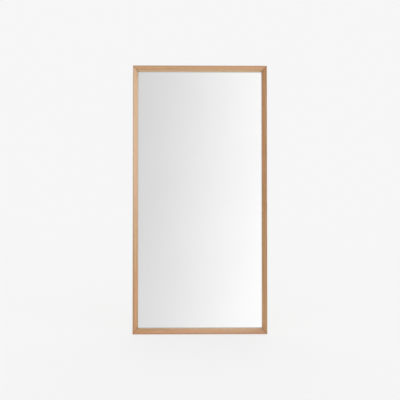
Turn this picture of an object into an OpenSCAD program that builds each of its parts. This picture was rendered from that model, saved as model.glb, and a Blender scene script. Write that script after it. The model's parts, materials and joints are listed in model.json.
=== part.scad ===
// Full-length leaning mirror: a mitred oak frame round a sheet of mirror glass, with its backing and fittings.
// It stands upright on its rubber feet. The front faces -Y, X runs across and Z up. Sizes are in millimetres.

/* [Frame] */
// Width of the frame
frame_w = 800; // [600:10:1000]
// Height of the frame, without the rubber feet
frame_h = 1600; // [1300:10:1900]
// Depth of the frame from front to back
frame_depth = 42; // [40:1:50]
// Width of each member, seen from the front
face_w = 26; // [25.5:0.5:34]
// Width of the flat lip at the frame's front edge
lip_w = 3; // [2:0.5:5]
// Width of the rebate's shoulder, which the glass lies against
shoulder_w = 5.5; // [5:0.5:8]
// Thickness of the frame's inner edge in front of the glass
nose_t = 2; // [2:0.2:4]
// Radius of the eased outer edges
ease_r = 1.5; // [0.5:0.5:2.5]

/* [Glass and backing] */
// Thickness of the glass
glass_t = 4; // [3:1:6]
// Thickness of the silvering and its paint
silver_t = 0.1; // [0.1:0.1:0.3]
// Thickness of the safety film
film_t = 0.2; // [0.1:0.1:0.4]
// Thickness of the foam sheet
foam_t = 2; // [1:0.5:3]
// Thickness of the backing board
board_t = 5; // [3:1:6]
// Gap between the glass and the rebate's walls
glass_gap = 2; // [1:0.5:3]
// Gap between the backing board and the rebate's walls
board_gap = 1; // [0.5:0.5:2]
// Length of each setting block and edge spacer
block_l = 25; // [20:5:40]
// Distance of the setting blocks and of the top spacers from the frame's middle
block_x = 240; // [150:10:250]
// Distance of the side spacers from the middle of each stile
spacer_z = 500; // [300:10:600]

/* [Joinery] */
// Diameter of the mitre dowels
dowel_d = 6; // [5:0.5:6.5]
// Length of the mitre dowels
dowel_l = 24; // [20:1:26]
// Distance of the dowels from the frame's outer corner, along the mitre
dowel_in = 19; // [18:0.5:20]
// Distance of the back row of dowels from the frame's back
dowel_back_row = 8; // [6:0.5:9]
// Distance of the front row of dowels from the frame's back
dowel_front_row = 20.5; // [20:0.5:22]
// Gap round the dowels and at their ends
dowel_gap = 0.1; // [0.05:0.05:0.2]
// Length of each leg of the corner plates
plate_l = 60; // [55:1:75]
// Width of the corner plates' legs
plate_w = 15; // [12:0.5:16]
// Thickness of the corner plates
plate_t = 2; // [1.8:0.1:3]
// Radius of the corner plates' rounded ends
plate_r = 3; // [1:0.5:5]
// Gap between each corner plate and its recess
plate_gap = 0.3; // [0.1:0.1:0.5]
// Distance of the outer screws from the corner plates' ends
plate_screw_in = 8; // [6:0.5:10]
// Distance between the two screws in each leg
plate_screw_pitch = 20; // [14:1:22]

/* [Turn buttons] */
// Width of the turn buttons
button_w = 10; // [8:0.5:12]
// Thickness of the turn buttons
button_t = 1.5; // [1:0.1:2]
// How far the turn buttons lap over the backing board
button_lap = 12; // [8:0.5:16]
// Distance of the outer side buttons from the frame's top and bottom
side_button_in = 250; // [180:10:260]
// Distance of the rail buttons from the frame's sides
rail_button_in = 200; // [160:10:260]

/* [Screws] */
// Diameter of the corner plates' countersunk screws
plate_screw_d = 3.5; // [3:0.1:4]
// Diameter of the countersunk heads
plate_head_d = 7; // [6:0.5:7.5]
// Length of the corner plates' screws
plate_screw_l = 16; // [12:1:18]
// Diameter of the pan head screws in the turn buttons and hangers
pan_screw_d = 3; // [2.5:0.1:3.5]
// Length of the pan head screws below their heads
pan_screw_l = 16; // [12:1:20]
// Diameter of the pan heads
pan_head_d = 6.6; // [5.6:0.2:7.6]
// Height of the pan heads
pan_head_h = 2; // [1.5:0.1:2.4]
// Gap between each screw and its hole
screw_gap = 0.05; // [0.02:0.01:0.1]

/* [Hangers] */
// Distance of the hanger rings' bars below the frame's top
hanger_drop = 310; // [300:10:500]
// Width of the hanger straps
strap_w = 11; // [9:0.5:12]
// Length of the hanger straps below the rings' bars
strap_l = 44; // [42:1:60]
// Thickness of the folded strap steel
leaf_t = 1.25; // [1:0.05:1.4]
// Gap between the strap's two leaves
leaf_gap = 0.1; // [0.05:0.05:0.2]
// Diameter of the hanger rings' wire
wire_d = 2.8; // [2.4:0.1:3]
// Gap between the rings' bars and the curled straps
curl_gap = 0.1; // [0.05:0.01:0.1]
// Gap between the strap's sides and the ring
ring_side_gap = 1; // [0.6:0.1:1.2]
// Bend radius at the rings' corners, at the middle of the wire
bend_r = 2.2; // [1.8:0.1:2.4]
// Length of the rings' straight legs, from the bar to the bow's centre
ring_leg = 5; // [4:0.5:8]
// Distance of the hangers' lower screw from the straps' ends
strap_screw_in = 8; // [6:0.5:9]
// Distance between the two screws in each hanger
strap_screw_pitch = 14; // [10:0.5:14]

/* [Feet and bumpers] */
// Thickness of the rubber feet under the frame
foot_t = 2; // [1:0.5:4]
// Length of the rubber feet
foot_l = 60; // [40:5:70]
// How far the rubber feet reach forward under the frame, from its back
foot_reach = 24; // [20:1:34]
// Height of the rubber feet's back legs above the frame's bottom
foot_leg = 18; // [12:1:20]
// Distance of the rubber feet's middles from the frame's sides
foot_in = 105; // [105:5:130]
// Radius of the rubber feet's rounded edges
foot_r = 1.5; // [0.5:0.5:2]
// Diameter of the wall bumpers
bumper_d = 16; // [12:1:18]
// Thickness of the wall bumpers and of the feet's back legs
bumper_t = 6; // [6:0.5:10]
// Radius of the wall bumpers' rounded edges
bumper_r = 2; // [0.5:0.5:3]
// Distance of the wall bumpers from the frame's top
bumper_in = 100; // [90:5:130]

/* [Hidden] */
$fn = 64;
over = 1;
edge_w = face_w - shoulder_w;
edge_mid = edge_w / 2;
stack_t = glass_t + silver_t + film_t + foam_t + board_t;
glass_v = frame_depth - stack_t;
slope_v = glass_v - nose_t;
front_y = -(frame_depth + bumper_t) / 2;
mid_z = foot_t + frame_h / 2;
glass_w = frame_w - 2 * edge_w - 2 * glass_gap;
glass_h = frame_h - 2 * edge_w - 2 * glass_gap;
board_w = frame_w - 2 * edge_w - 2 * board_gap;
board_h = frame_h - 2 * edge_w - 2 * board_gap;
plate_inset = edge_mid - plate_w / 2;
plate_screws = [
    plate_inset + plate_l - plate_screw_in - plate_screw_pitch,
    plate_inset + plate_l - plate_screw_in,
];
pan_rim_h = 0.6;
screw_tip_l = 3;
screw_point_d = 0.6;
cross_l = 3.8;
cross_w = 0.9;
cross_depth = 1.2;
button_arm = edge_w - edge_mid + board_gap + button_lap - button_w / 2;
side_buttons = [frame_h / 2 - side_button_in, 0, side_button_in - frame_h / 2];
rail_button_x = frame_w / 2 - rail_button_in;
curl_r = wire_d / 2 + curl_gap + leaf_t;
strap_t = 2 * leaf_t + leaf_gap;
strap_r = 3;
strap_reach = 2 * curl_r + over;
ring_half = strap_w / 2 + ring_side_gap + wire_d / 2;
ring_rest_gap = 0.05;
ring_rest_reach = ring_leg + sqrt(pow(ring_half, 2) - pow(strap_w / 2, 2));
ring_tilt = asin((strap_t + wire_d / 2 + ring_rest_gap - curl_r) / ring_rest_reach);
hanger_z = frame_h / 2 - hanger_drop;
strap_screws = [strap_screw_in - strap_l, strap_screw_in + strap_screw_pitch - strap_l];

oak = [0.80, 0.64, 0.49];
beech = [0.86, 0.74, 0.58];
zinc = [0.72, 0.73, 0.74];
board_brown = [0.55, 0.42, 0.30];
rubber_grey = [0.25, 0.25, 0.26];

// The four places that a member takes. Their children are drawn with X from the frame's outer side inwards,
// Y from its front to its back, and Z along the member from its middle.
module on_left() {
    translate([-frame_w / 2, front_y, mid_z])
        children();
}

module on_right() {
    mirror([1, 0, 0])
        on_left()
            children();
}

module on_bottom() {
    translate([0, front_y, foot_t])
        rotate([0, -90, 0])
            children();
}

module on_top() {
    translate([0, 0, 2 * mid_z])
        mirror([0, 0, 1])
            on_bottom()
                children();
}

// The frame's corners. Their children are drawn at the outer front corner, with X and Z along the two members.
module at_corner(right, top) {
    translate([0, 0, top * 2 * mid_z])
        mirror([0, 0, top])
            mirror([right, 0, 0])
                translate([-frame_w / 2, front_y, foot_t])
                    children();
}

// Both legs of a corner, which are alike about the mitre
module on_both_legs() {
    children();
    mirror([1, 0, -1])
        children();
}

module at_all_corners() {
    for (right = [0, 1], top = [0, 1])
        at_corner(right, top)
            children();
}

// What a square corner loses to a rounded edge
module corner_cut(r) {
    difference() {
        translate([-over, -over])
            square(r + over);
        translate([r, r])
            circle(r);
    }
}

module rounded_rectangle(w, d, r) {
    translate([0, r])
        square([w, d - 2 * r]);
    translate([r, 0])
        square([w - 2 * r, d]);
    for (x = [r, w - r], y = [r, d - r])
        translate([x, y])
            circle(r);
}

// Outline in X and Z, as thick as t along Y
module slab(t) {
    translate([0, t, 0])
        rotate([90, 0, 0])
            linear_extrude(t)
                children();
}

// Screws lie along Y, pointing to -Y, with the head's seat or flush top at the origin.
module along_y() {
    rotate([-90, 0, 0])
        children();
}

module screw_shank(d, length) {
    translate([0, 0, screw_tip_l - length])
        cylinder(h = length - screw_tip_l, d = d);
    translate([0, 0, -length])
        cylinder(h = screw_tip_l, d1 = screw_point_d, d2 = d);
}

// The crossed slots in a screw's head, cut from the head's top at the origin
module cross_recess() {
    for (turn = [0, 90])
        rotate(turn)
            translate([-cross_l / 2, -cross_w / 2, -cross_depth])
                cube([cross_l, cross_w, cross_depth + over]);
}

module countersunk_screw(d, head_d, length) {
    head_h = (head_d - d) / 2;
    along_y()
        difference() {
            union() {
                screw_shank(d, length);
                translate([0, 0, -head_h])
                    cylinder(h = head_h, d1 = d, d2 = head_d);
            }
            cross_recess();
        }
}

module countersunk_hole(d, head_d, length) {
    head_h = (head_d - d) / 2;
    along_y() {
        translate([0, 0, -length - screw_gap])
            cylinder(h = length + screw_gap + over, d = d + 2 * screw_gap);
        translate([0, 0, -head_h - screw_gap])
            cylinder(h = head_h + screw_gap, d1 = d, d2 = head_d + 2 * screw_gap);
        cylinder(h = over, d = head_d + 2 * screw_gap);
    }
}

module pan_screw() {
    dome_h = pan_head_h - pan_rim_h;
    dome_r = (pow(pan_head_d / 2, 2) + pow(dome_h, 2)) / (2 * dome_h);
    along_y()
        difference() {
            union() {
                screw_shank(pan_screw_d, pan_screw_l);
                intersection() {
                    cylinder(h = pan_head_h, d = pan_head_d);
                    translate([0, 0, pan_head_h - dome_r])
                        sphere(dome_r);
                }
            }
            translate([0, 0, pan_head_h])
                cross_recess();
        }
}

module pan_hole() {
    along_y()
        translate([0, 0, -pan_screw_l - screw_gap])
            cylinder(h = pan_screw_l + screw_gap + over, d = pan_screw_d + 2 * screw_gap);
}

// One corner's dowels, square to the mitre
module corner_dowels(gap) {
    for (row = [dowel_back_row, dowel_front_row])
        translate([dowel_in / sqrt(2), frame_depth - row, dowel_in / sqrt(2)])
            rotate([0, 135, 0])
                translate([0, 0, -dowel_l / 2 - gap])
                    cylinder(h = dowel_l + 2 * gap, d = dowel_d + 2 * gap);
}

module corner_plate_outline(gap) {
    for (turn = [0, 1])
        mirror([turn, -turn])
            translate([plate_inset - gap, plate_inset - gap])
                rounded_rectangle(plate_w + 2 * gap, plate_l + 2 * gap, plate_r);
}

module corner_plate() {
    color(zinc)
        difference() {
            translate([0, frame_depth - plate_t, 0])
                slab(plate_t)
                    corner_plate_outline(0);
            on_both_legs()
                corner_plate_screw_holes();
        }
}

module corner_plate_screw_holes() {
    for (z = plate_screws)
        translate([edge_mid, frame_depth, z])
            countersunk_hole(plate_screw_d, plate_head_d, plate_screw_l);
}

// What is cut from a member at the end where Z is 0
module end_cuts() {
    corner_dowels(dowel_gap);
    translate([0, frame_depth - plate_t, 0])
        slab(plate_t + over)
            corner_plate_outline(plate_gap);
    corner_plate_screw_holes();
}

module member_section() {
    difference() {
        polygon([
            [0, 0],
            [lip_w, 0],
            [face_w, slope_v],
            [face_w, glass_v],
            [edge_w, glass_v],
            [edge_w, frame_depth],
            [0, frame_depth],
        ]);
        corner_cut(ease_r);
        translate([0, frame_depth])
            mirror([0, 1])
                corner_cut(ease_r);
    }
}

// Both mitres of a member as an outline in X and Z
module mitred_outline(length) {
    wide = face_w + over;
    polygon([
        [-over, -length / 2 - over],
        [wide, wide - length / 2],
        [wide, length / 2 - wide],
        [-over, length / 2 + over],
    ]);
}

// A frame member. Its children are the holes that it alone has.
module frame_member(length) {
    color(oak)
        difference() {
            intersection() {
                translate([0, 0, -length / 2 - over])
                    linear_extrude(length + 2 * over)
                        member_section();
                translate([0, -over, 0])
                    slab(frame_depth + 2 * over)
                        mitred_outline(length);
            }
            for (end = [0, 1])
                mirror([0, 0, end])
                    translate([0, 0, -length / 2])
                        end_cuts();
            children();
        }
}

module button_pivots(places) {
    for (z = places)
        translate([edge_mid, frame_depth, z])
            children();
}

module hanger_screw_places() {
    for (z = strap_screws)
        translate([edge_mid, frame_depth, hanger_z + z])
            children();
}

module stile_blank() {
    frame_member(frame_h) {
        button_pivots(side_buttons)
            pan_hole();
        hanger_screw_places()
            pan_hole();
    }
}

module rail_blank() {
    frame_member(frame_w)
        button_pivots([-rail_button_x, rail_button_x])
            pan_hole();
}

module left_stile() {
    on_left()
        stile_blank();
}

module right_stile() {
    on_right()
        stile_blank();
}

module top_rail() {
    on_top()
        rail_blank();
}

module bottom_rail() {
    on_bottom()
        rail_blank();
}

module mitre_dowels() {
    color(beech)
        at_all_corners()
            corner_dowels(0);
}

module corner_plate_screws() {
    color(zinc)
        at_all_corners()
            on_both_legs()
                for (z = plate_screws)
                    translate([edge_mid, frame_depth, z])
                        countersunk_screw(plate_screw_d, plate_head_d, plate_screw_l);
}

// One flat layer in the rebate, with its front face at depth v behind the frame's front
module layer(w, h, t, v) {
    translate([-w / 2, front_y + v, mid_z - h / 2])
        cube([w, t, h]);
}

module mirror_glass() {
    color([0.80, 0.88, 0.86])
        layer(glass_w, glass_h, glass_t, glass_v);
}

module silver_layer() {
    color([0.78, 0.79, 0.80])
        layer(glass_w, glass_h, silver_t, glass_v + glass_t);
}

module safety_film() {
    color([0.88, 0.88, 0.85])
        layer(glass_w, glass_h, film_t, glass_v + glass_t + silver_t);
}

module foam_sheet() {
    color([0.93, 0.93, 0.92])
        layer(glass_w, glass_h, foam_t, glass_v + glass_t + silver_t + film_t);
}

module backing_board() {
    color(board_brown)
        layer(board_w, board_h, board_t, frame_depth - board_t);
}

// Blocks that fill the gap between the glass's edge and the rebate's wall
module edge_blocks(places) {
    for (z = places)
        translate([edge_w, glass_v, z - block_l / 2])
            cube([glass_gap, glass_t, block_l]);
}

module setting_blocks() {
    color(rubber_grey)
        on_bottom()
            edge_blocks([-block_x, block_x]);
}

module edge_spacers() {
    color([0.55, 0.56, 0.57]) {
        on_left()
            edge_blocks([-spacer_z, spacer_z]);
        on_right()
            edge_blocks([-spacer_z, spacer_z]);
        on_top()
            edge_blocks([-block_x, block_x]);
    }
}

// A turn button on the frame's back, with its pivot at place z along the member
module turn_button(z) {
    color(zinc)
        button_pivots([z])
            difference() {
                slab(button_t) {
                    circle(d = button_w);
                    translate([0, -button_w / 2])
                        square([button_arm, button_w]);
                    translate([button_arm, 0])
                        circle(d = button_w);
                }
                pan_hole();
                translate([0, button_t, 0])
                    pan_hole();
            }
}

module button_screws(places) {
    button_pivots(places)
        translate([0, button_t, 0])
            pan_screw();
}

module turn_button_screws() {
    color(zinc) {
        on_left()
            button_screws(side_buttons);
        on_right()
            button_screws(side_buttons);
        on_top()
            button_screws([-rail_button_x, rail_button_x]);
        on_bottom()
            button_screws([-rail_button_x, rail_button_x]);
    }
}

// The folded strap in Y and Z, seen from its side, with the ring's bar at height 0
module strap_side() {
    difference() {
        union() {
            translate([curl_r, 0])
                circle(curl_r);
            translate([0, -strap_l])
                square([leaf_t, strap_l]);
            translate([leaf_t + leaf_gap, -strap_l])
                square([leaf_t, strap_l - curl_r + leaf_t / 2]);
        }
        translate([curl_r, 0])
            circle(wire_d / 2 + curl_gap);
    }
}

// The strap in X and Z, with rounded lower corners
module strap_outline() {
    translate([-strap_w / 2, -strap_l])
        rounded_rectangle(strap_w, strap_l + 2 * curl_r, strap_r);
}

module hanger_strap() {
    color(zinc)
        translate([edge_mid, frame_depth, hanger_z])
            difference() {
                intersection() {
                    translate([-strap_w / 2, 0, 0])
                        rotate([90, 0, 90])
                            linear_extrude(strap_w)
                                strap_side();
                    slab(strap_reach)
                        strap_outline();
                }
                for (z = strap_screws)
                    translate([0, strap_t, z])
                        pan_hole();
            }
}

module hanger_strap_screws() {
    hanger_screw_places()
        translate([0, strap_t, 0])
            pan_screw();
}

module hanger_screws() {
    color(zinc) {
        on_left()
            hanger_strap_screws();
        on_right()
            hanger_strap_screws();
    }
}

// A bent length of the ring's wire in X and Z: an arc of radius r, through the given angle from +X
module wire_arc(r, angle) {
    rotate([90, 0, 0])
        rotate_extrude(angle = angle)
            translate([r, 0])
                circle(d = wire_d);
}

// The ring's wire, hanging from its bar, which lies along X at the origin
module ring_wire() {
    bar_half = ring_half - bend_r;
    translate([-bar_half, 0, 0])
        rotate([0, 90, 0])
            cylinder(h = 2 * bar_half, d = wire_d);
    for (side = [0, 1])
        mirror([side, 0, 0]) {
            translate([bar_half, 0, -bend_r])
                wire_arc(bend_r, 90);
            translate([ring_half, 0, -ring_leg])
                cylinder(h = ring_leg - bend_r, d = wire_d);
        }
    translate([0, 0, -ring_leg])
        mirror([0, 0, 1])
            wire_arc(ring_half, 180);
}

module hanger_ring() {
    color(zinc)
        translate([edge_mid, frame_depth + curl_r, hanger_z])
            rotate([ring_tilt, 0, 0])
                ring_wire();
}

module wall_bumper() {
    translate([edge_mid, frame_depth, frame_h / 2 - bumper_in])
        along_y()
            rotate_extrude() {
                square([bumper_d / 2 - bumper_r, bumper_t]);
                square([bumper_d / 2, bumper_t - bumper_r]);
                translate([bumper_d / 2 - bumper_r, bumper_t - bumper_r])
                    circle(bumper_r);
            }
}

module wall_bumpers() {
    color(rubber_grey) {
        on_left()
            wall_bumper();
        on_right()
            wall_bumper();
    }
}

// A rubber foot in Y and Z, seen from its side: it wraps the frame's lower back edge, which is at the origin
module foot_side() {
    difference() {
        union() {
            translate([-foot_reach, -foot_t])
                square([foot_reach + bumper_t, foot_t]);
            translate([0, -foot_t])
                square([bumper_t, foot_t + foot_leg]);
        }
        translate([bumper_t, foot_leg])
            rotate(180)
                corner_cut(foot_r);
    }
}

module rubber_feet() {
    color(rubber_grey)
        for (x = [foot_in - frame_w / 2, frame_w / 2 - foot_in])
            translate([x - foot_l / 2, front_y + frame_depth, foot_t])
                rotate([90, 0, 90])
                    linear_extrude(foot_l)
                        foot_side();
}

left_stile();
right_stile();
top_rail();
bottom_rail();
mitre_dowels();
at_corner(0, 1) corner_plate();  // corner_plate_top_left
at_corner(1, 1) corner_plate();  // corner_plate_top_right
at_corner(0, 0) corner_plate();  // corner_plate_bottom_left
at_corner(1, 0) corner_plate();  // corner_plate_bottom_right
corner_plate_screws();
mirror_glass();
silver_layer();
safety_film();
foam_sheet();
backing_board();
setting_blocks();
edge_spacers();
on_left() turn_button(side_buttons[0]);  // turn_button_left_top
on_left() turn_button(side_buttons[1]);  // turn_button_left_middle
on_left() turn_button(side_buttons[2]);  // turn_button_left_bottom
on_right() turn_button(side_buttons[0]);  // turn_button_right_top
on_right() turn_button(side_buttons[1]);  // turn_button_right_middle
on_right() turn_button(side_buttons[2]);  // turn_button_right_bottom
on_top() turn_button(rail_button_x);  // turn_button_top_left
on_top() turn_button(-rail_button_x);  // turn_button_top_right
on_bottom() turn_button(rail_button_x);  // turn_button_bottom_left
on_bottom() turn_button(-rail_button_x);  // turn_button_bottom_right
turn_button_screws();
on_left() hanger_strap();  // hanger_strap_left
on_right() hanger_strap();  // hanger_strap_right
on_left() hanger_ring();  // hanger_ring_left
on_right() hanger_ring();  // hanger_ring_right
hanger_screws();
wall_bumpers();
rubber_feet();
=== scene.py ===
# Full-length leaning mirror in a mitred oak frame: its finishes, the floor, the light and the camera.
# Metres throughout. The front faces -Y, X runs across and Z up.
import json
import math

import bmesh
import bpy
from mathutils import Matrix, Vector


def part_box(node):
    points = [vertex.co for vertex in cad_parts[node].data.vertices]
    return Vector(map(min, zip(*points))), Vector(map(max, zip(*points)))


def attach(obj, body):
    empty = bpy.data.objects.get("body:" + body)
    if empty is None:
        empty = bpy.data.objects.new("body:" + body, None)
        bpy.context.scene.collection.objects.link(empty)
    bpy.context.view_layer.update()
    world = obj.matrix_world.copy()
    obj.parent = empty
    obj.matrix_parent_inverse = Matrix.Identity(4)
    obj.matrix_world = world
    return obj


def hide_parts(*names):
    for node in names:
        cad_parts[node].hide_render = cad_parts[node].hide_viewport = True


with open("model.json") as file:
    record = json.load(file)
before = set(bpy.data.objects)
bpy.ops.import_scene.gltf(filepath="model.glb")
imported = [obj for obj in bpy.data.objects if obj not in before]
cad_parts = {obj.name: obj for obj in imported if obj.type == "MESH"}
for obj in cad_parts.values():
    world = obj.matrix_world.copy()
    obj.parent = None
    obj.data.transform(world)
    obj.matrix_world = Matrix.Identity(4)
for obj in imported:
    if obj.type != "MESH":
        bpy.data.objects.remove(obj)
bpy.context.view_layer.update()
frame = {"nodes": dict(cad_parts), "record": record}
print("frame loaded:", len(frame["nodes"]), "nodes")

bodyOfNode = {
    node: body for body, nodes in frame["record"]["behaviour"]["bodies"].items() for node in nodes
}
slotOfNode = {part["node"]: part["material_slot"] for part in frame["record"]["subparts"]}


# Short ways to add nodes to a tree

def addNode(tree, kind, inputs=None, **settings):
    node = tree.nodes.new("ShaderNode" + kind)
    for name, value in settings.items():
        setattr(node, name, value)
    for name, value in (inputs or {}).items():
        connect(tree, value, node.inputs[name])
    return node


def connect(tree, value, socket):
    if isinstance(value, bpy.types.NodeSocket):
        tree.links.new(value, socket)
    else:
        socket.default_value = value


def calc(tree, operation, *values, clamp=False):
    node = tree.nodes.new("ShaderNodeMath")
    node.operation = operation
    node.use_clamp = clamp
    for index, value in enumerate(values):
        connect(tree, value, node.inputs[index])
    return node.outputs[0]


def calcVector(tree, operation, *values):
    node = tree.nodes.new("ShaderNodeVectorMath")
    node.operation = operation
    for index, value in enumerate(values):
        connect(tree, value, node.inputs[index])
    return node.outputs["Value" if operation == "DOT_PRODUCT" else "Vector"]


def remap(tree, value, low, high, toLow=0.0, toHigh=1.0):
    node = addNode(tree, "MapRange", interpolation_type="SMOOTHSTEP", inputs={
        "Value": value, "From Min": low, "From Max": high, "To Min": toLow, "To Max": toHigh,
    })
    return node.outputs["Result"]


def noise(tree, vector, scale=1.0, detail=2.0, roughness=0.5):
    return addNode(tree, "TexNoise", inputs={
        "Vector": vector, "Scale": scale, "Detail": detail, "Roughness": roughness,
    })


def split(tree, vector):
    return addNode(tree, "SeparateXYZ", {"Vector": vector}).outputs


def objectPlace(tree):
    return addNode(tree, "TexCoord").outputs["Object"]


def mixColour(tree, share, first, second, blend="MIX"):
    # A Mix node keeps its colours in inputs 6 and 7, and their mix in output 2
    node = addNode(tree, "Mix", data_type="RGBA", blend_type=blend)
    connect(tree, share, node.inputs["Factor"])
    for socket, value in ((node.inputs[6], first), (node.inputs[7], second)):
        connect(tree, value, socket)
    return node.outputs[2]


def colour(red, green, blue):
    # A screen colour out of 255, as the renderer's own linear value
    def linear(part):
        share = part / 255
        return share / 12.92 if share <= 0.04045 else ((share + 0.055) / 1.055) ** 2.4
    return (linear(red), linear(green), linear(blue), 1.0)


def newGroup(name, inputs, outputs):
    tree = bpy.data.node_groups.new(name, "ShaderNodeTree")
    kinds = {"value": "NodeSocketFloat", "colour": "NodeSocketColor", "vector": "NodeSocketVector"}
    for label, (kind, default) in inputs.items():
        socket = tree.interface.new_socket(label, in_out="INPUT", socket_type=kinds[kind])
        if default is not None:
            socket.default_value = default
    for label, kind in outputs.items():
        tree.interface.new_socket(label, in_out="OUTPUT", socket_type=kinds[kind])
    given = tree.nodes.new("NodeGroupInput").outputs
    wanted = tree.nodes.new("NodeGroupOutput").inputs
    return tree, given, wanted


def placeGroup(tree, group, values):
    node = tree.nodes.new("ShaderNodeGroup")
    node.node_tree = group
    for name, value in values.items():
        connect(tree, value, node.inputs[name])
    return node.outputs


# Grain of oak and beech. Each noise is stretched along the grain: how fine it is across and along it, in
# cycles per metre, and its detail and roughness. Its ends are the noise values at which its mask is 0 and 1.
# The hue leans by outside at a member's outer side, and by perMetre more for each metre inwards.
grainLook = {
    "seedStep": (3.7, 1.9, 5.3),  # metres that the pattern moves for each seed
    "wander": {"noise": (7, 1.2, 2.0, 0.5), "reach": 0.016},
    "earlyWood": {"rise": (0.0, 0.06), "fall": (0.62, 0.12), "share": 0.4},
    "drift": {"noise": (36, 1.0, 2.0, 0.5), "ends": (0.32, 0.68), "share": 0.38},
    "streak": {"noise": (170, 2.6, 3.0, 0.6), "ends": (0.3, 0.7), "share": 0.34},
    "hue": {"noise": (75, 2.2, 2.0, 0.5), "share": 0.6, "outside": 0.5, "perMetre": -38.0},
    "hueEnds": {"Rosy Colour": (0.48, 0.68), "Golden Colour": (0.5, 0.32)},
    "flake": {"noise": (330, 30, 1.0, 0.5), "ends": (0.6, 0.72), "share": 0.22},
    "fibre": {"noise": (1100, 16, 3.0, 0.6), "ends": (0.3, 0.7), "shade": (0.93, 1.05)},
    "pores": {"cells": (4600, 4600, 105), "ends": (0.46, 0.2), "inLateWood": 0.15, "share": 0.5},
    "rough": {"base": 0.4, "fibre": 0.12, "pores": 0.25},
    "height": {"fibre": 0.25, "pores": -1.0, "earlyWood": -0.12},
}


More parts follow.
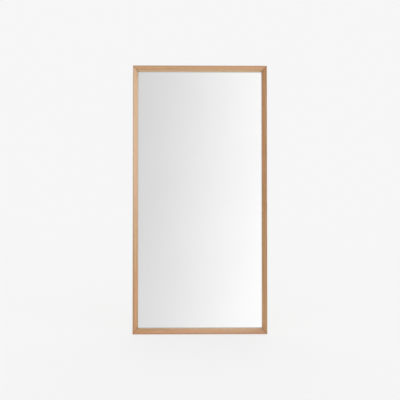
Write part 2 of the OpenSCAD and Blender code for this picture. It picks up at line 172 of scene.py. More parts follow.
def makeWoodGrain():
    # Place: X from the member's outer side, Y from its front, Z along it
    tree, given, wanted = newGroup("woodGrain", {
        "Place": ("vector", None),
        "Seed": ("value", 0.0),
        "Pith Across": ("value", 0.09),
        "Pith Deep": ("value", 0.05),
        "Pith Lean": ("value", 0.01),
        "Ring Width": ("value", 0.003),
        "Figure": ("value", 1.0),
        "Deep": ("value", 0.0),
        "Pale": ("value", 0.0),
        "Rosy": ("value", 0.0),
        "Rosy Outside": ("value", 0.0),
        "Light Colour": ("colour", colour(212, 169, 127)),
        "Deep Colour": ("colour", colour(182, 135, 92)),
        "Rosy Colour": ("colour", colour(212, 149, 110)),
        "Golden Colour": ("colour", colour(202, 162, 109)),
        "Pale Colour": ("colour", colour(211, 182, 151)),
        "Pore Colour": ("colour", colour(120, 82, 52)),
    }, {"Colour": "colour", "Roughness": "value", "Height": "value"})
    place = given["Place"]
    shift = addNode(tree, "CombineXYZ", {
        axis: calc(tree, "MULTIPLY", given["Seed"], step) for axis, step in zip("XYZ", grainLook["seedStep"])
    }).outputs[0]
    moved = calcVector(tree, "ADD", place, shift)

    def streaks(name):
        across, along, detail, roughness = grainLook[name]["noise"]
        stretched = calcVector(tree, "MULTIPLY", moved, (across, across, along))
        return noise(tree, stretched, 1.0, detail, roughness).outputs

    def mask(name):
        return remap(tree, streaks(name)["Fac"], *grainLook[name]["ends"])

    # Growth rings round a pith that lies beside the member and leans a little
    reach = grainLook["wander"]["reach"]
    wander = calcVector(tree, "SUBTRACT", streaks("wander")["Color"], (0.5, 0.5, 0.5))
    wander = calcVector(tree, "MULTIPLY", wander, (reach, reach, 0.0))
    parts = split(tree, calcVector(tree, "ADD", place, wander))
    leaning = calc(tree, "MULTIPLY", parts["Z"], given["Pith Lean"])
    across = calc(tree, "SUBTRACT", calc(tree, "ADD", parts["X"], leaning), given["Pith Across"])
    deep = calc(tree, "SUBTRACT", parts["Y"], given["Pith Deep"])
    squares = calc(tree, "MULTIPLY_ADD", across, across, calc(tree, "MULTIPLY", deep, deep))
    ring = calc(tree, "FRACT", calc(tree, "DIVIDE", calc(tree, "SQRT", squares), given["Ring Width"]))
    earlyWood = grainLook["earlyWood"]
    rise = remap(tree, ring, *earlyWood["rise"])
    early = calc(tree, "MULTIPLY", rise, remap(tree, ring, *earlyWood["fall"]))

    # Pores: short dark dashes, crowded in each ring's early wood
    poreLook = grainLook["pores"]
    cells = calcVector(tree, "MULTIPLY", moved, poreLook["cells"])
    cell = addNode(tree, "TexVoronoi", {"Vector": cells, "Scale": 1.0}, feature="F1")
    dash = remap(tree, cell.outputs["Distance"], *poreLook["ends"])
    late = poreLook["inLateWood"]
    pores = calc(tree, "MULTIPLY", dash, calc(tree, "MULTIPLY_ADD", early, 1 - late, late))
    fibre = streaks("fibre")["Fac"]

    # Slow changes of tone along the member, then bands that turn rosy or golden
    tone = calc(tree, "MULTIPLY", early, earlyWood["share"])
    for name in ("drift", "streak"):
        tone = calc(tree, "MULTIPLY_ADD", mask(name), grainLook[name]["share"], tone)
    tone = calc(tree, "MULTIPLY_ADD", tone, given["Figure"], given["Deep"], clamp=True)
    shade = mixColour(tree, tone, given["Light Colour"], given["Deep Colour"])
    hueLook = grainLook["hue"]
    outward = calc(tree, "MULTIPLY_ADD", parts["X"], hueLook["perMetre"], hueLook["outside"])
    hue = calc(tree, "ADD", streaks("hue")["Fac"], given["Rosy"])
    hue = calc(tree, "MULTIPLY_ADD", outward, given["Rosy Outside"], hue)
    for tint, ends in grainLook["hueEnds"].items():
        share = remap(tree, hue, *ends, 0.0, hueLook["share"])
        share = calc(tree, "MULTIPLY", share, given["Figure"], clamp=True)
        shade = mixColour(tree, share, shade, given[tint])
    shade = mixColour(tree, given["Pale"], shade, given["Pale Colour"])
    flake = calc(tree, "MULTIPLY", mask("flake"), grainLook["flake"]["share"])
    shade = mixColour(tree, flake, shade, given["Pale Colour"])
    fine = remap(tree, fibre, *grainLook["fibre"]["ends"], *grainLook["fibre"]["shade"])
    fineColour = addNode(tree, "CombineColor", {"Red": fine, "Green": fine, "Blue": fine}).outputs[0]
    shade = mixColour(tree, 1.0, shade, fineColour, "MULTIPLY")
    shade = mixColour(tree, calc(tree, "MULTIPLY", pores, poreLook["share"]), shade, given["Pore Colour"])
    tree.links.new(shade, wanted["Colour"])

    roughLook = grainLook["rough"]
    rough = calc(tree, "MULTIPLY_ADD", fibre, roughLook["fibre"], roughLook["base"])
    tree.links.new(calc(tree, "MULTIPLY_ADD", pores, roughLook["pores"], rough), wanted["Roughness"])
    heightLook = grainLook["height"]
    height = calc(tree, "MULTIPLY", pores, heightLook["pores"])
    height = calc(tree, "MULTIPLY_ADD", fibre, heightLook["fibre"], height)
    tree.links.new(calc(tree, "MULTIPLY_ADD", early, heightLook["earlyWood"], height), wanted["Height"])
    return tree


# Stain at the mitres; toward their inner ends it spreads wider and darker, which is painted shade for the
# inner corners
jointStainAndShade = {
    "fineness": 90,
    "patches": (0.35, 0.7, 0.1, 0.5),
    "innerFrom": 0.45,
    "innerExtra": 0.3,
}


def makeJointLine():
    # The hairline where two members meet at a mitre, and a stain beside it that grows toward the inner corner
    # as painted shade
    tree, given, wanted = newGroup("jointLine", {
        "Place": ("vector", None),
        "Half Length": ("value", 0.8),
        "Width": ("value", 0.026),
        "Line": ("value", 0.0005),
        "Spread": ("value", 0.006),
    }, {"Mask": "value"})
    parts = split(tree, given["Place"])
    toEnd = calc(tree, "SUBTRACT", given["Half Length"], calc(tree, "ABSOLUTE", parts["Z"]))
    away = calc(tree, "ABSOLUTE", calc(tree, "SUBTRACT", toEnd, parts["X"]))
    line = calc(tree, "SUBTRACT", 1.0, calc(tree, "DIVIDE", away, given["Line"]), clamp=True)
    innerFrom = calc(tree, "MULTIPLY", given["Width"], jointStainAndShade["innerFrom"])
    inner = remap(tree, parts["X"], innerFrom, given["Width"])
    spread = calc(tree, "MULTIPLY_ADD", inner, given["Spread"], given["Spread"])
    stainAndCornerShade = calc(tree, "SUBTRACT", 1.0, calc(tree, "DIVIDE", away, spread), clamp=True)
    uneven = noise(tree, given["Place"], jointStainAndShade["fineness"]).outputs["Fac"]
    patchy = remap(tree, uneven, *jointStainAndShade["patches"])
    patchy = calc(tree, "MULTIPLY_ADD", inner, jointStainAndShade["innerExtra"], patchy)
    stainAndCornerShade = calc(tree, "MULTIPLY", stainAndCornerShade, patchy)
    tree.links.new(calc(tree, "MAXIMUM", line, stainAndCornerShade), wanted["Mask"])
    return tree


# Where the noises of the shared effects turn into masks: the mask's 0 and 1, then its own ends if they differ
effectEnds = {
    "wearBreakup": (0.35, 0.65, 0.25, 1.0),
    "dustFacing": (0.35, 0.95),
    "dustPatches": (0.35, 0.7),
    "scratches": (0.42, 0.75),
    "clouds": (0.3, 0.7),
    "speckle": (0.35, 0.65),
}


def makeEdgeWear():
    # Where a surface turns over an edge, broken up so that it looks handled
    tree, given, wanted = newGroup("edgeWear", {
        "Radius": ("value", 0.001),
        "Gain": ("value", 2.0),
        "Breakup": ("value", 120.0),
    }, {"Mask": "value"})
    turned = addNode(tree, "Bevel", {"Radius": given["Radius"]}, samples=4).outputs["Normal"]
    straight = addNode(tree, "NewGeometry").outputs["Normal"]
    bend = calc(tree, "SUBTRACT", 1.0, calcVector(tree, "DOT_PRODUCT", turned, straight))
    uneven = noise(tree, objectPlace(tree), given["Breakup"], detail=3.0, roughness=0.6).outputs["Fac"]
    uneven = remap(tree, uneven, *effectEnds["wearBreakup"])
    mask = calc(tree, "MULTIPLY", calc(tree, "MULTIPLY", bend, given["Gain"]), uneven, clamp=True)
    tree.links.new(mask, wanted["Mask"])
    return tree


def makeDust():
    # Fine dust that settles on what faces up
    tree, given, wanted = newGroup("dust", {
        "Amount": ("value", 0.3),
        "Scale": ("value", 60.0),
    }, {"Mask": "value"})
    upward = split(tree, addNode(tree, "NewGeometry").outputs["Normal"])["Z"]
    facing = remap(tree, upward, *effectEnds["dustFacing"])
    patches = noise(tree, objectPlace(tree), given["Scale"], detail=4.0, roughness=0.65).outputs["Fac"]
    patches = remap(tree, patches, *effectEnds["dustPatches"])
    mask = calc(tree, "MULTIPLY", calc(tree, "MULTIPLY", facing, patches), given["Amount"])
    tree.links.new(mask, wanted["Mask"])
    return tree


def makeScratches():
    # Fine lines from rolling, drawing or handling, stretched along one axis
    tree, given, wanted = newGroup("scratches", {
        "Stretch": ("vector", (200.0, 2000.0, 2000.0)),
    }, {"Mask": "value", "Height": "value"})
    stretched = calcVector(tree, "MULTIPLY", objectPlace(tree), given["Stretch"])
    lines = noise(tree, stretched, detail=4.0, roughness=0.7).outputs["Fac"]
    tree.links.new(remap(tree, lines, *effectEnds["scratches"]), wanted["Mask"])
    tree.links.new(lines, wanted["Height"])
    return tree


def makeMottle():
    # Soft clouds of tone with a fine speckle in them
    tree, given, wanted = newGroup("mottle", {
        "Cloud Scale": ("value", 12.0),
        "Speckle Scale": ("value", 900.0),
        "Speckle Share": ("value", 0.4),
    }, {"Tone": "value", "Speckle": "value"})
    place = objectPlace(tree)
    clouds = noise(tree, place, given["Cloud Scale"], detail=3.0, roughness=0.55).outputs["Fac"]
    clouds = remap(tree, clouds, *effectEnds["clouds"])
    speckle = noise(tree, place, given["Speckle Scale"], detail=2.0, roughness=0.6).outputs["Fac"]
    speckle = remap(tree, speckle, *effectEnds["speckle"])
    rest = calc(tree, "SUBTRACT", 1.0, given["Speckle Share"])
    tone = calc(tree, "MULTIPLY_ADD", speckle, given["Speckle Share"], calc(tree, "MULTIPLY", clouds, rest))
    tree.links.new(tone, wanted["Tone"])
    tree.links.new(speckle, wanted["Speckle"])
    return tree


woodGrain = makeWoodGrain()
jointLine = makeJointLine()
edgeWear = makeEdgeWear()
dust = makeDust()
scratches = makeScratches()
mottle = makeMottle()
print("shared effects ready")


def newMaterial(name, **values):
    material = bpy.data.materials.new(name)
    material.use_nodes = True
    tree = material.node_tree
    shader = tree.nodes["Principled BSDF"]
    for label, value in values.items():
        shader.inputs[label].default_value = value
    return material, tree, shader.inputs


def addBump(tree, shader, height, distance):
    bump = addNode(tree, "Bump", {"Height": height, "Distance": distance, "Strength": 1.0})
    tree.links.new(bump.outputs["Normal"], shader["Normal"])


# Oak members. A place in a member is measured from its outer side, its front and its middle.
# A pair of tones belongs to the member's two ends, the bottom or left one first.
oakLook = {
    # The left stile's paler upper end is partly painted sheen from the light at the right, and partly a paler
    # board
    "left_stile": {
        "seed": 1.0, "pithAcross": 0.11, "pithDeep": 0.03, "pithLean": 0.012, "ringWidth": 0.0031,
        "deepColour": colour(160, 114, 72), "deep": (0.26, 0.18), "pale": (0.1, 0.7), "rosy": (0.0, 0.0),
        "rosyOutside": 0.0, "innerPale": (0.0, 0.35), "innerDark": (0.0, 0.0),
    },
    "right_stile": {
        "seed": 2.0, "pithAcross": -0.08, "pithDeep": 0.05, "pithLean": -0.01, "ringWidth": 0.0028,
        "deepColour": colour(160, 114, 72), "deep": (-0.08, 0.09), "pale": (0.0, 0.0), "rosy": (0.0, 0.0),
        "rosyOutside": -0.05, "innerPale": (0.3, 0.0), "innerDark": (0.0, 0.2),
    },
    "top_rail": {
        "seed": 3.0, "pithAcross": 0.1, "pithDeep": 0.09, "pithLean": 0.016, "ringWidth": 0.0034,
        "deepColour": colour(182, 135, 92), "deep": (0.0, -0.05), "pale": (0.2, 0.25), "rosy": (0.0, 0.0),
        "rosyOutside": 0.45, "innerPale": (0.8, 0.7), "innerDark": (0.0, 0.0),
    },
    "bottom_rail": {
        "seed": 4.0, "pithAcross": 0.13, "pithDeep": -0.02, "pithLean": -0.014, "ringWidth": 0.003,
        "deepColour": colour(182, 135, 92), "deep": (0.05, -0.35), "pale": (0.0, 0.25), "rosy": (0.0, 0.12),
        "rosyOutside": 0.15, "innerPale": (0.6, 0.6), "innerDark": (0.0, 0.0),
    },
    "paleStretch": (-0.8, 0.4),  # where the pale tone changes, in shares of half the length
    "lipReach": (0.33, 0.08),  # shares of the face's width, and so is the next
    "innerReach": (0.84, 0.96),
    "lip": {"colour": colour(120, 92, 66), "share": 0.36},
    # Colours for the painted light and painted shade along the inner edge
    "inner": {"innerPale": colour(234, 210, 182), "innerDark": colour(118, 84, 56)},
    "rebate": {"colour": colour(236, 220, 198), "share": 0.85, "overWall": 0.0002, "overShoulder": 0.0001},
    "worn": {"colour": colour(168, 122, 84), "share": 0.25, "radius": 0.0012, "gain": 1.6, "breakup": 60.0},
    "joint": {"colour": colour(112, 74, 44), "share": 0.75, "line": 0.0006, "spread": 0.007, "rough": 0.15},
    "dust": {"colour": colour(214, 206, 196), "amount": 0.12, "scale": 45.0, "rough": 0.3},
    "bump": 0.00022,
    "easedWidth": 0.0006,
    "shortestEased": 0.3,
}
frameLow = Vector(map(min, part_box("left_stile")[0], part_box("bottom_rail")[0]))
frameHigh = Vector(map(max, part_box("right_stile")[1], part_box("top_rail")[1]))
frameMiddle = (frameLow + frameHigh) / 2
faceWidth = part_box("left_stile")[1].x - frameLow.x
# The glass lies on the rebate's shoulder, and the spacers touch its wall
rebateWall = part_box("edge_spacers")[0].x - frameLow.x
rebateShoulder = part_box("mirror_glass")[0].y - frameLow.y


def memberPlace(tree, node):
    # Object place turned so that X runs in from the outer side and Z along the member
    place = objectPlace(tree)
    upright = node.endswith("stile")
    lengthways = 2 if upright else 0
    inwards = 0 if upright else 2
    if not upright:
        parts = split(tree, place)
        place = addNode(tree, "CombineXYZ", {"X": parts["Z"], "Y": parts["Y"], "Z": parts["X"]}).outputs[0]
    low = node in ("left_stile", "bottom_rail")
    outer = frameLow[inwards] if low else frameHigh[inwards]
    way = 1.0 if low else -1.0
    start = (-way * outer, -frameLow[1], -frameMiddle[lengthways])
    halfLength = frameHigh[lengthways] - frameMiddle[lengthways]
    return calcVector(tree, "MULTIPLY_ADD", place, (way, 1.0, 1.0), start), halfLength


def makeOak(node):
    look = oakLook[node]
    material, tree, shader = newMaterial("oak_" + node, **{
        "Specular IOR Level": 0.45, "Coat Roughness": 0.35, "Coat Weight": 0.12, "IOR": 1.5,
    })
    place, halfLength = memberPlace(tree, node)
    parts = split(tree, place)

    def alongMember(pair, start=-1.0, end=1.0):
        return remap(tree, parts["Z"], start * halfLength, end * halfLength, *pair)

    grain = placeGroup(tree, woodGrain, {
        "Place": place, "Seed": look["seed"], "Pith Across": look["pithAcross"],
        "Pith Deep": look["pithDeep"], "Pith Lean": look["pithLean"], "Ring Width": look["ringWidth"],
        "Deep": alongMember(look["deep"]), "Pale": alongMember(look["pale"], *oakLook["paleStretch"]),
        "Rosy": alongMember(look["rosy"]), "Rosy Outside": look["rosyOutside"],
        "Deep Colour": look["deepColour"],
    })
    # The outer lip is darkened into a thin dark outline
    lip = oakLook["lip"]
    lipFrom, lipFull = (faceWidth * share for share in oakLook["lipReach"])
    darkenedLip = remap(tree, parts["X"], lipFrom, lipFull, 0.0, lip["share"])
    shade = mixColour(tree, darkenedLip, grain["Colour"], lip["colour"])
    # At the inner edge, painted light lifts the nose where it lies in shade, and painted shade darkens the
    # right stile's upper end
    inside = remap(tree, parts["X"], *(faceWidth * share for share in oakLook["innerReach"]))
    for name, tint in oakLook["inner"].items():
        share = calc(tree, "MULTIPLY", inside, alongMember(look[name]))
        shade = mixColour(tree, share, shade, tint)
    # The rebate is bare wood, and its pale tone is also painted light on the shoulder behind the glass, where
    # little light reaches
    rebate = oakLook["rebate"]
    pastWall = calc(tree, "GREATER_THAN", parts["X"], rebateWall - rebate["overWall"])
    pastShoulder = calc(tree, "GREATER_THAN", parts["Y"], rebateShoulder - rebate["overShoulder"])
    bareAndPaintedLight = calc(tree, "MULTIPLY", calc(tree, "MULTIPLY", pastWall, pastShoulder), rebate["share"])
    shade = mixColour(tree, bareAndPaintedLight, shade, rebate["colour"])
    worn = oakLook["worn"]
    wear = placeGroup(tree, edgeWear, {
        "Radius": worn["radius"], "Gain": worn["gain"], "Breakup": worn["breakup"],
    })
    shade = mixColour(tree, calc(tree, "MULTIPLY", wear["Mask"], worn["share"]), shade, worn["colour"])
    # Mitre hairline and stain, with painted shade growing toward the inner corners
    joint = oakLook["joint"]
    stainAndCornerShade = placeGroup(tree, jointLine, {
        "Place": place, "Half Length": halfLength, "Width": faceWidth, "Line": joint["line"],
        "Spread": joint["spread"],
    })
    shade = mixColour(tree, calc(tree, "MULTIPLY", stainAndCornerShade["Mask"], joint["share"]), shade, joint["colour"])
    settling = oakLook["dust"]
    settled = placeGroup(tree, dust, {"Amount": settling["amount"], "Scale": settling["scale"]})
    shade = mixColour(tree, settled["Mask"], shade, settling["colour"])
    tree.links.new(shade, shader["Base Color"])
    rough = calc(tree, "MULTIPLY_ADD", settled["Mask"], settling["rough"], grain["Roughness"])
    rough = calc(tree, "MULTIPLY_ADD", stainAndCornerShade["Mask"], joint["rough"], rough)
    tree.links.new(rough, shader["Roughness"])
    addBump(tree, shader, grain["Height"], oakLook["bump"])
    return material


# How copies of CAD meshes are cleaned and eased
copyCare = {
    "weld": 1e-6,
    "flat": math.radians(0.4),
    "sharp": math.radians(28),
    "segments": 3,
}


def link(piece):
    bpy.context.scene.collection.objects.link(piece)
    return piece


def finishedCopy(node, ending, easedWidth, shortest):
    # A copy of a CAD node's mesh, with its flat faces whole and its sharp edges eased
    mesh = frame["nodes"][node].data.copy()
    mesh.name = node + ending
    shape = bmesh.new()
    shape.from_mesh(mesh)
    bmesh.ops.remove_doubles(shape, verts=shape.verts, dist=copyCare["weld"])
    bmesh.ops.dissolve_limit(shape, angle_limit=copyCare["flat"], verts=shape.verts, edges=shape.edges)
    weights = shape.edges.layers.float.new("bevel_weight_edge")
    for edge in shape.edges:
        steep = len(edge.link_faces) == 2 and edge.calc_face_angle_signed(0.0) > copyCare["sharp"]
        edge[weights] = 1.0 if steep and edge.calc_length() > shortest else 0.0
    for face in shape.faces:
        face.smooth = True
    shape.to_mesh(mesh)
    shape.free()
    if mesh.has_custom_normals:
        mesh.normals_split_custom_set([(0.0, 0.0, 0.0)] * len(mesh.loops))
    mesh.set_sharp_from_angle(angle=copyCare["sharp"])
    piece = link(bpy.data.objects.new(node + ending, mesh))
    eased = piece.modifiers.new("easedEdges", "BEVEL")
    eased.width = easedWidth
    eased.segments = copyCare["segments"]
    eased.limit_method = "WEIGHT"
    eased.use_clamp_overlap = False
    eased.harden_normals = True
    return piece


def putOn(piece, node, material):
    piece.data.materials.clear()
    piece.data.materials.append(material)
    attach(piece, bodyOfNode[node])
    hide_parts(node)


for node in ("left_stile", "right_stile", "top_rail", "bottom_rail"):
    member = finishedCopy(node, "_eased", oakLook["easedWidth"], oakLook["shortestEased"])
    putOn(member, node, makeOak(node))
print("oak frame finished")


# Plated steel: corner plates, turn buttons, hanger straps and rings, and screws
steelLook = {
    "zinc_steel": {
        "light": colour(206, 208, 211), "dull": colour(164, 168, 172), "rough": 0.3, "spread": 0.2,
        "stretch": (2400.0, 2400.0, 160.0), "bump": 0.00003,
    },
    "screw_steel": {
        "light": colour(212, 211, 206), "dull": colour(150, 148, 142), "rough": 0.24, "spread": 0.16,
        "stretch": (900.0, 900.0, 900.0), "bump": 0.00002,
    },
    "ring_steel": {
        "light": colour(216, 218, 220), "dull": colour(182, 185, 188), "rough": 0.16, "spread": 0.12,
        "stretch": (300.0, 2600.0, 2600.0), "bump": 0.00001,
    },
    "spangle": {"scale": 260.0, "share": 0.3},
    "cloudShare": 0.6,
    "lineRough": 0.08,
    "bright": {"colour": colour(226, 227, 228), "share": 0.6},
    "burrWidth": 0.0003,
}


def makeSteel(slot):
    look = steelLook[slot]
    material, tree, shader = newMaterial(slot, Metallic=1.0)
    clouds = placeGroup(tree, mottle, {"Cloud Scale": 90.0, "Speckle Scale": 1800.0, "Speckle Share": 0.25})
    lines = placeGroup(tree, scratches, {"Stretch": look["stretch"]})
    wear = placeGroup(tree, edgeWear, {"Radius": 0.0005, "Gain": 2.5, "Breakup": 500.0})
    spangle = steelLook["spangle"]
    cell = addNode(tree, "TexVoronoi", {"Vector": objectPlace(tree), "Scale": spangle["scale"]}, feature="F1")
    crystal = addNode(tree, "SeparateColor", {"Color": cell.outputs["Color"]}).outputs["Red"]
    tone = calc(tree, "MULTIPLY", clouds["Tone"], steelLook["cloudShare"])
    tone = calc(tree, "MULTIPLY_ADD", crystal, spangle["share"], tone, clamp=True)
    shade = mixColour(tree, tone, look["light"], look["dull"])
    bright = steelLook["bright"]
    shade = mixColour(tree, calc(tree, "MULTIPLY", wear["Mask"], bright["share"]), shade, bright["colour"])
    tree.links.new(shade, shader["Base Color"])
    rough = calc(tree, "MULTIPLY_ADD", tone, look["spread"], look["rough"])
    rough = calc(tree, "MULTIPLY_ADD", lines["Mask"], steelLook["lineRough"], rough)
    tree.links.new(rough, shader["Roughness"])
    addBump(tree, shader, lines["Height"], look["bump"])
    return material


# Glass and what lies behind it
sheetLook = {
    "glassTint": colour(254, 254, 254),
    "glassEdge": colour(226, 243, 234),
    "glassEdgeReach": (0.4994, 0.4999),  # from the middle, in shares of the pane
    "glassCloud": 0.02,
    "silver": colour(248, 248, 248),
    "silverAged": colour(246, 246, 246),
    "film": colour(219, 222, 224),
    "filmThread": colour(198, 203, 208),
    "thread": {"pitch": 0.003, "ends": (0.6, 0.95), "share": 0.7, "bump": 0.0001},
    "filmCloud": 0.2,
    "filmRough": (0.35, 0.2),  # between the threads, and how much more on them
    "foam": colour(237, 237, 234),
    "foamCell": colour(222, 222, 218),
    "bubble": {"scale": 900.0, "ends": (0.2, 0.6), "bump": 0.0002},
    "bond": 0.00004,
    "seat": 0.00008,
}


def makeFloatGlass():
    material, tree, shader = newMaterial("float_glass", **{
        "Transmission Weight": 1.0, "IOR": 1.52, "Roughness": 0.0,
    })
    clouds = placeGroup(tree, mottle, {"Cloud Scale": 3.0, "Speckle Scale": 40.0, "Speckle Share": 0.2})
    place = addNode(tree, "TexCoord").outputs["Generated"]
    fromMiddle = calcVector(tree, "ABSOLUTE", calcVector(tree, "SUBTRACT", place, (0.5, 0.5, 0.5)))
    parts = split(tree, fromMiddle)
    atEdge = remap(tree, calc(tree, "MAXIMUM", parts["X"], parts["Z"]), *sheetLook["glassEdgeReach"])
    greener = calc(tree, "MULTIPLY_ADD", clouds["Tone"], sheetLook["glassCloud"], atEdge, clamp=True)
    shade = mixColour(tree, greener, sheetLook["glassTint"], sheetLook["glassEdge"])
    tree.links.new(shade, shader["Base Color"])
    return material


def makeSilvering():
    material, tree, shader = newMaterial("silvering", Metallic=1.0, Roughness=0.0)
    clouds = placeGroup(tree, mottle, {"Cloud Scale": 2.5, "Speckle Scale": 60.0, "Speckle Share": 0.1})
    shade = mixColour(tree, clouds["Tone"], sheetLook["silver"], sheetLook["silverAged"])
    tree.links.new(shade, shader["Base Color"])
    return material


def makeSafetyFilm():
    # Milky plastic with a woven backing
    material, tree, shader = newMaterial("safety_film", **{"Specular IOR Level": 0.5})
    look = sheetLook["thread"]
    parts = split(tree, objectPlace(tree))
    perMetre = 2 * math.pi / look["pitch"]
    weave = [calc(tree, "SINE", calc(tree, "MULTIPLY", parts[axis], perMetre)) for axis in "XZ"]
    thread = remap(tree, calc(tree, "MAXIMUM", *weave), *look["ends"])
    clouds = placeGroup(tree, mottle, {"Cloud Scale": 6.0, "Speckle Scale": 300.0, "Speckle Share": 0.3})
    tone = calc(tree, "MULTIPLY", clouds["Tone"], sheetLook["filmCloud"])
    share = calc(tree, "MULTIPLY_ADD", thread, look["share"], tone, clamp=True)
    tree.links.new(mixColour(tree, share, sheetLook["film"], sheetLook["filmThread"]), shader["Base Color"])
    rough, more = sheetLook["filmRough"]
    tree.links.new(calc(tree, "MULTIPLY_ADD", thread, more, rough), shader["Roughness"])
    addBump(tree, shader, thread, look["bump"])
    return material


def makeFoam():
    # Closed-cell foam, with its fine bubbles
    material, tree, shader = newMaterial("foam", Roughness=0.85)
    look = sheetLook["bubble"]
    cell = addNode(tree, "TexVoronoi", {"Vector": objectPlace(tree), "Scale": look["scale"]}, feature="F1")
    bubble = cell.outputs["Distance"]
    shade = mixColour(tree, remap(tree, bubble, *look["ends"]), sheetLook["foam"], sheetLook["foamCell"])
    tree.links.new(shade, shader["Base Color"])
    addBump(tree, shader, bubble, look["bump"])
    return material


# Fibreboard back: pressed brown fibre, a little darker at its edges. Its fibres lie every way, so three sets
# of short lines are turned against each other.
boardLook = {
    "light": colour(176, 146, 113),
    "dark": colour(156, 126, 95),
    "fleck": colour(98, 72, 50),
    "paleFibre": colour(204, 178, 144),
    "fibreTurns": ((0.3, "paleFibre"), (1.4, "fleck"), (2.4, "paleFibre")),
    "fibreStretch": (120.0, 900.0, 1300.0),
    "fibreEnds": (0.6, 0.74, 0.0, 0.4),
    "wearShare": 0.5,
    "rough": (0.62, 0.15),  # the least, and how much more in the speckle
    "bump": 0.00008,
    "easedWidth": 0.0006,
    "shortestEased": 0.001,
}


def makeFibreboard():
    material, tree, shader = newMaterial("fibreboard", **{"Specular IOR Level": 0.3})
    clouds = placeGroup(tree, mottle, {"Cloud Scale": 3.0, "Speckle Scale": 1300.0, "Speckle Share": 0.7})
    place = objectPlace(tree)
    shade = mixColour(tree, clouds["Tone"], boardLook["light"], boardLook["dark"])
    for turn, tint in boardLook["fibreTurns"]:
        turned = addNode(tree, "VectorRotate", {"Vector": place, "Angle": turn}, rotation_type="Y_AXIS")
        stretched = calcVector(tree, "MULTIPLY", turned.outputs[0], boardLook["fibreStretch"])
        lines = noise(tree, stretched, detail=2.0, roughness=0.6).outputs["Fac"]
        shade = mixColour(tree, remap(tree, lines, *boardLook["fibreEnds"]), shade, boardLook[tint])
    wear = placeGroup(tree, edgeWear, {"Radius": 0.002, "Gain": 2.0, "Breakup": 90.0})
    worn = calc(tree, "MULTIPLY", wear["Mask"], boardLook["wearShare"])
    tree.links.new(mixColour(tree, worn, shade, boardLook["fleck"]), shader["Base Color"])
    rough, more = boardLook["rough"]
    tree.links.new(calc(tree, "MULTIPLY_ADD", clouds["Speckle"], more, rough), shader["Roughness"])
    addBump(tree, shader, clouds["Speckle"], boardLook["bump"])
    return material


# Rubber: feet, bumpers and setting blocks in black, edge spacers in grey
rubberLook = {
    "black_rubber": {"light": colour(56, 56, 59), "dark": colour(38, 38, 41)},
    "grey_rubber": {"light": colour(142, 144, 146), "dark": colour(112, 115, 118)},
    "worn": {"colour": colour(120, 120, 122), "share": 0.3},
    "dust": colour(168, 164, 158),
    "rough": (0.58, 0.2),  # the least, and how much more in the speckle
    "bump": 0.00006,
}


def makeRubber(slot):
    look = rubberLook[slot]
    material, tree, shader = newMaterial(slot, **{"Specular IOR Level": 0.35})
    clouds = placeGroup(tree, mottle, {"Cloud Scale": 70.0, "Speckle Scale": 1500.0, "Speckle Share": 0.5})
    settled = placeGroup(tree, dust, {"Amount": 0.35, "Scale": 160.0})
    wear = placeGroup(tree, edgeWear, {"Radius": 0.0008, "Gain": 2.0, "Breakup": 260.0})
    worn = rubberLook["worn"]
    shade = mixColour(tree, clouds["Tone"], look["light"], look["dark"])
    shade = mixColour(tree, calc(tree, "MULTIPLY", wear["Mask"], worn["share"]), shade, worn["colour"])
    tree.links.new(mixColour(tree, settled["Mask"], shade, rubberLook["dust"]), shader["Base Color"])
    rough, more = rubberLook["rough"]
    tree.links.new(calc(tree, "MULTIPLY_ADD", clouds["Speckle"], more, rough), shader["Roughness"])
    addBump(tree, shader, clouds["Speckle"], rubberLook["bump"])
    return material


# Beech dowels, which run square to the mitres
beechLook = {
    "light": colour(222, 192, 152),
    "deep": colour(200, 164, 122),
    "pore": colour(168, 128, 88),
    "seed": 9.0,
    "ringWidth": 0.0016,
    "figure": 0.6,
    "bump": 0.0001,
}


def makeBeech():
    material, tree, shader = newMaterial("beech", **{"Specular IOR Level": 0.35})
    grain = placeGroup(tree, woodGrain, {
        "Place": objectPlace(tree), "Seed": beechLook["seed"], "Ring Width": beechLook["ringWidth"],
        "Figure": beechLook["figure"], "Light Colour": beechLook["light"], "Deep Colour": beechLook["deep"],
        "Rosy Colour": beechLook["deep"], "Golden Colour": beechLook["light"],
        "Pore Colour": beechLook["pore"],
    })
    tree.links.new(grain["Colour"], shader["Base Color"])
    tree.links.new(grain["Roughness"], shader["Roughness"])
    addBump(tree, shader, grain["Height"], beechLook["bump"])
    return material


finishes = {
    "beech": makeBeech(),
    "float_glass": makeFloatGlass(),
    "silvering": makeSilvering(),
    "safety_film": makeSafetyFilm(),
    "foam": makeFoam(),
    "fibreboard": makeFibreboard(),
}
for slot in ("zinc_steel", "screw_steel", "ring_steel"):
    finishes[slot] = makeSteel(slot)
for slot in ("black_rubber", "grey_rubber"):
    finishes[slot] = makeRubber(slot)
for node, slot in slotOfNode.items():
    if slot in finishes:
        for materialSlot in frame["nodes"][node].material_slots:
            materialSlot.material = finishes[slot]
print("finishes ready:", len(finishes))

for node in sorted(slotOfNode):
    if slotOfNode[node] == "zinc_steel":
        plate = finishedCopy(node, "_deburred", steelLook["burrWidth"], 0.0)
        putOn(plate, node, finishes["zinc_steel"])
board = finishedCopy("backing_board", "_sanded", boardLook["easedWidth"], boardLook["shortestEased"])
putOn(board, "backing_board", finishes["fibreboard"])
print("steel plates and board finished")


def withFrontMoved(node, ending, shift):
    # A copy of a sheet whose front face lies a hair further back, or further forward where shift is negative
    mesh = frame["nodes"][node].data.copy()
    mesh.name = node + ending
    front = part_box(node)[0].y
    for vertex in mesh.vertices:
        if vertex.co.y - front < abs(shift):
            vertex.co.y = front + shift
    return link(bpy.data.objects.new(node + ending, mesh))


# The coat is bonded to the glass, so it begins inside the glass's back face
putOn(withFrontMoved("silver_layer", "_coat", -sheetLook["bond"]), "silver_layer", finishes["silvering"])
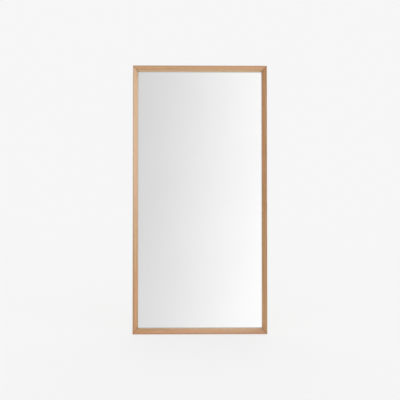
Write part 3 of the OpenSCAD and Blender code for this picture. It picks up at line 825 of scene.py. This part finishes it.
# The pane sits a hair behind the rebate's shoulder
putOn(withFrontMoved("mirror_glass", "_pane", sheetLook["seat"]), "mirror_glass", finishes["float_glass"])
print("glass and silver coat finished")


# Rubber feet: each wraps the frame's lower back edge, with moulded grooves in its back and a rounded outline
footLook = {
    "length": 0.06,
    "grooves": 5,
    "grooveWidth": 0.0016,
    "grooveDepth": 0.0008,
    "grooveMargin": 0.0045,
    "cornerRadius": 0.0015,
    "cornerSteps": 6,
    "edge": 0.00035,
    "edgeSegments": 2,
    "edgeFrom": math.radians(50),
}


def footOutline():
    # Points in Y and Z, from the front of the sole round its underside to the leg's top
    low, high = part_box("rubber_feet")
    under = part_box("bottom_rail")[0].z
    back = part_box("bottom_rail")[1].y
    points = [(low.y, under), (low.y, low.z), (high.y, low.z)]
    first = low.z + footLook["grooveMargin"]
    last = high.z - footLook["grooveMargin"]
    half = footLook["grooveWidth"] / 2
    deep = high.y - footLook["grooveDepth"]
    for index in range(footLook["grooves"]):
        middle = first + (last - first) * index / (footLook["grooves"] - 1)
        points += [(high.y, middle - half), (deep, middle - half / 2)]
        points += [(deep, middle + half / 2), (high.y, middle + half)]
    radius = footLook["cornerRadius"]
    centreY = high.y - radius
    centreZ = high.z - radius
    for step in range(footLook["cornerSteps"] + 1):
        angle = math.radians(90 * step / footLook["cornerSteps"])
        points.append((centreY + radius * math.cos(angle), centreZ + radius * math.sin(angle)))
    points += [(back, high.z), (back, under)]
    return points


def makeFeet():
    low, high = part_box("rubber_feet")
    outline = footOutline()
    count = len(outline)
    shape = bmesh.new()
    for start in (low.x, high.x - footLook["length"]):
        near, far = (
            [shape.verts.new((x, y, z)) for y, z in outline] for x in (start, start + footLook["length"])
        )
        shape.faces.new(near)
        shape.faces.new(list(reversed(far)))
        for index in range(count):
            after = (index + 1) % count
            shape.faces.new((near[after], near[index], far[index], far[after]))
    bmesh.ops.recalc_face_normals(shape, faces=shape.faces)
    mesh = bpy.data.meshes.new("rubber_feet_moulded")
    shape.to_mesh(mesh)
    shape.free()
    mesh.shade_smooth()
    mesh.set_sharp_from_angle(angle=copyCare["sharp"])
    feet = link(bpy.data.objects.new("rubber_feet_moulded", mesh))
    rounded = feet.modifiers.new("roundedEdges", "BEVEL")
    rounded.width = footLook["edge"]
    rounded.segments = footLook["edgeSegments"]
    rounded.limit_method = "ANGLE"
    rounded.angle_limit = footLook["edgeFrom"]
    rounded.harden_normals = True
    return feet


putOn(makeFeet(), "rubber_feet", finishes["black_rubber"])
print("rubber feet finished")


# Floor and light. What the mirror shows has its own tones: a swell from left to right, and a fall upwards.
stageLook = {
    "floorSize": 80.0,
    "paleGrey": colour(246, 246, 246),
    "litGrey": colour(241, 241, 241),  # takes the light and the shadow, and ends up as pale as the rest
    "flatShare": 0.8,
    "floorBounce": 1.306,
    "skyLevel": 1.0,
    "skySlope": 0.25,  # brighter to the right
    "sunFromFront": 80.0,  # degrees round to the right
    "sunHeight": 18.0,
    "sunWidth": 50.0,
    "sunStrength": 0.45,
    "mirroredMiddle": 0.893,
    "mirroredSlope": 0.93,
    "mirroredSpread": 0.45,
    "mirroredFall": 0.09,
    "leastAhead": 0.02,  # keeps the tones finite straight out to the sides
    "glossRight": 2.8,
    "glossLeft": 0.5,
    # Where each gloss begins and is full, as parts of a direction of length 1
    "farRight": (0.4, 0.9),
    "farLeft": (-0.4, -0.9),
    "aboveFloor": (-0.25, 0.35),
}


def makeFloor():
    half = stageLook["floorSize"] / 2
    corners = [(-half, -half, 0), (half, -half, 0), (half, half, 0), (-half, half, 0)]
    mesh = bpy.data.meshes.new("floor")
    mesh.from_pydata(corners, [], [(0, 1, 2, 3)])
    floor = link(bpy.data.objects.new("floor", mesh))
    material, tree, shader = newMaterial("paleFloor", **{
        "Base Color": stageLook["litGrey"], "Roughness": 1.0, "Specular IOR Level": 0.0,
    })
    # Part of the floor is flat grey, which softens the shadow and lights the object from below
    bounce = stageLook["floorBounce"]
    seen = addNode(tree, "LightPath").outputs["Is Camera Ray"]
    strength = calc(tree, "MULTIPLY_ADD", seen, 1 - bounce, bounce)
    flat = addNode(tree, "Emission", {"Color": stageLook["paleGrey"], "Strength": strength}).outputs[0]
    softened = addNode(tree, "MixShader", {"Fac": stageLook["flatShare"]})
    tree.links.new(tree.nodes["Principled BSDF"].outputs[0], softened.inputs[1])
    tree.links.new(flat, softened.inputs[2])
    # Seen from below, it is clear
    clear = addNode(tree, "MixShader", {"Fac": addNode(tree, "NewGeometry").outputs["Backfacing"]})
    tree.links.new(softened.outputs[0], clear.inputs[1])
    tree.links.new(addNode(tree, "BsdfTransparent").outputs[0], clear.inputs[2])
    tree.links.new(clear.outputs[0], tree.nodes["Material Output"].inputs["Surface"])
    mesh.materials.append(material)
    floor.visible_glossy = False
    floor.visible_transmission = False


def makeWorld():
    world = bpy.data.worlds.new("paleStudio")
    bpy.context.scene.world = world
    world.use_nodes = True
    tree = world.node_tree
    way = split(tree, addNode(tree, "TexCoord").outputs["Generated"])
    ahead = calc(tree, "MAXIMUM", calc(tree, "ABSOLUTE", way["Y"]), stageLook["leastAhead"])

    def swell(side, spread):
        # Rises with the angle, then falls back at the far sides
        slope = calc(tree, "DIVIDE", side, ahead)
        share = calc(tree, "DIVIDE", slope, spread)
        return calc(tree, "DIVIDE", slope, calc(tree, "MULTIPLY_ADD", share, share, 1.0))

    spread = stageLook["mirroredSpread"]
    tone = calc(tree, "MULTIPLY_ADD", swell(way["X"], spread), stageLook["mirroredSlope"],
                stageLook["mirroredMiddle"])
    tone = calc(tree, "MULTIPLY_ADD", swell(way["Z"], 2 * spread), -stageLook["mirroredFall"], tone)
    # Far out to the sides, where only the sloping faces look, it is bright to the right and dim to the left
    right = remap(tree, way["X"], *stageLook["farRight"])
    right = calc(tree, "MULTIPLY", right, remap(tree, way["Z"], *stageLook["aboveFloor"]))
    left = remap(tree, way["X"], *stageLook["farLeft"])
    tone = calc(tree, "MULTIPLY_ADD", right, stageLook["glossRight"], tone)
    tone = calc(tree, "MULTIPLY_ADD", left, -stageLook["glossLeft"], tone)
    ray = addNode(tree, "LightPath").outputs
    mirrored = calc(tree, "MAXIMUM", ray["Is Glossy Ray"], ray["Is Transmission Ray"])
    level = calc(tree, "MULTIPLY_ADD", way["X"], stageLook["skySlope"], stageLook["skyLevel"])
    tone = addNode(tree, "Mix", {"Factor": mirrored, "A": level, "B": tone}).outputs[0]
    lit = addNode(tree, "CombineColor", {"Red": tone, "Green": tone, "Blue": tone}).outputs[0]
    shade = mixColour(tree, ray["Is Camera Ray"], lit, stageLook["paleGrey"])
    tree.links.new(shade, tree.nodes["Background"].inputs["Color"])


def makeSun():
    sun = bpy.data.lights.new("softSun", "SUN")
    sun.energy = stageLook["sunStrength"]
    sun.angle = math.radians(stageLook["sunWidth"])
    lamp = link(bpy.data.objects.new("softSun", sun))
    turn = math.radians(stageLook["sunFromFront"])
    height = math.radians(stageLook["sunHeight"])
    level = math.cos(height)
    towards = Vector((math.sin(turn) * level, -math.cos(turn) * level, math.sin(height)))
    lamp.rotation_euler = towards.to_track_quat("Z", "Y").to_euler()


# Fitted so that the frame's outer and inner corners lie where the photograph has them
cameraLook = {
    "place": (-0.01288, -2.024, 0.78216),
    "tiltUp": math.radians(0.481),
    "turnRight": math.radians(0.365),
    "lens": 30.25,
    "sensor": 36.0,
}


def makeCamera():
    data = bpy.data.cameras.new("camera")
    data.lens = cameraLook["lens"]
    data.sensor_width = cameraLook["sensor"]
    camera = link(bpy.data.objects.new("camera", data))
    camera.location = cameraLook["place"]
    camera.rotation_euler = (math.pi / 2 + cameraLook["tiltUp"], 0.0, -cameraLook["turnRight"])
    bpy.context.scene.camera = camera


makeFloor()
makeWorld()
makeSun()
makeCamera()
bpy.context.scene.view_settings.view_transform = "Standard"
print("stage ready")
